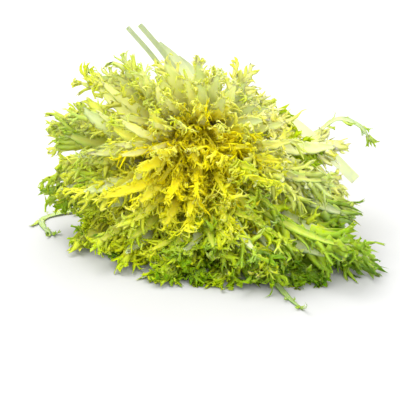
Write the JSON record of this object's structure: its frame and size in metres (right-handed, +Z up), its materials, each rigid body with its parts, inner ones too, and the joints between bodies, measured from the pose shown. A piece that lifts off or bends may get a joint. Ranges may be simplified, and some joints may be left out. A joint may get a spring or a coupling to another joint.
{
  "type": "curly endive head",
  "caption": "Whole head of curly endive lying on its side: a short cut stem and a dense spiral of finely cut, curled leaves, yellow in the heart, green outside.",
  "frame": {"origin": "on the surface that the head lies on, under the middle of its box", "axes": "+Z up, -Y towards the open heart, +X to the right as seen from the heart's side, along the longest extent"},
  "size_m": [0.2904, 0.2206, 0.1684],
  "materials": {
    "stem": "moist pale cut stem, satin",
    "heart_leaf": "thin translucent leaf, deep yellow, soft gloss",
    "inner_leaf": "thin translucent leaf, yellow to lime, soft gloss",
    "middle_leaf": "thin translucent leaf, lime green, soft gloss",
    "outer_leaf": "leaf blade, mid green with a white rib, soft gloss",
    "trimmed_leaf": "pale watery leaf stalk, satin"
  },
  "bodies": {
    "root": {"heart_leaf_01": "heart_leaf", "heart_leaf_02": "heart_leaf", "heart_leaf_03": "heart_leaf", "heart_leaf_04": "heart_leaf", "heart_leaf_05": "heart_leaf", "heart_leaf_06": "heart_leaf", "heart_leaf_07": "heart_leaf", "heart_leaf_08": "heart_leaf", "heart_leaf_09": "heart_leaf", "heart_leaf_10": "heart_leaf", "inner_leaf_11": "inner_leaf", "inner_leaf_12": "inner_leaf", "inner_leaf_13": "inner_leaf", "inner_leaf_14": "inner_leaf", "inner_leaf_15": "inner_leaf", "inner_leaf_16": "inner_leaf", "inner_leaf_17": "inner_leaf", "inner_leaf_18": "inner_leaf", "inner_leaf_19": "inner_leaf", "inner_leaf_20": "inner_leaf", "inner_leaf_21": "inner_leaf", "inner_leaf_22": "inner_leaf", "loose_leaf_front": "outer_leaf", "loose_leaf_left": "outer_leaf", "loose_leaf_right": "outer_leaf", "middle_leaf_23": "middle_leaf", "middle_leaf_24": "middle_leaf", "middle_leaf_25": "middle_leaf", "middle_leaf_26": "middle_leaf", "middle_leaf_27": "middle_leaf", "middle_leaf_28": "middle_leaf", "middle_leaf_29": "middle_leaf", "middle_leaf_30": "middle_leaf", "middle_leaf_31": "middle_leaf", "middle_leaf_32": "middle_leaf", "middle_leaf_33": "middle_leaf", "middle_leaf_34": "middle_leaf", "middle_leaf_35": "middle_leaf", "middle_leaf_36": "middle_leaf", "outer_leaf_37": "outer_leaf", "outer_leaf_38": "outer_leaf", "outer_leaf_39": "outer_leaf", "outer_leaf_40": "outer_leaf", "outer_leaf_41": "outer_leaf", "outer_leaf_42": "outer_leaf", "outer_leaf_43": "outer_leaf", "outer_leaf_44": "outer_leaf", "outer_leaf_45": "outer_leaf", "outer_leaf_46": "outer_leaf", "outer_leaf_47": "outer_leaf", "outer_leaf_48": "outer_leaf", "outer_leaf_49": "outer_leaf", "outer_leaf_50": "outer_leaf", "stem": "stem", "trimmed_leaf_1": "trimmed_leaf", "trimmed_leaf_2": "trimmed_leaf", "trimmed_leaf_3": "trimmed_leaf", "trimmed_leaf_4": "trimmed_leaf", "trimmed_leaf_5": "trimmed_leaf"}
  },
  "joints": []
}
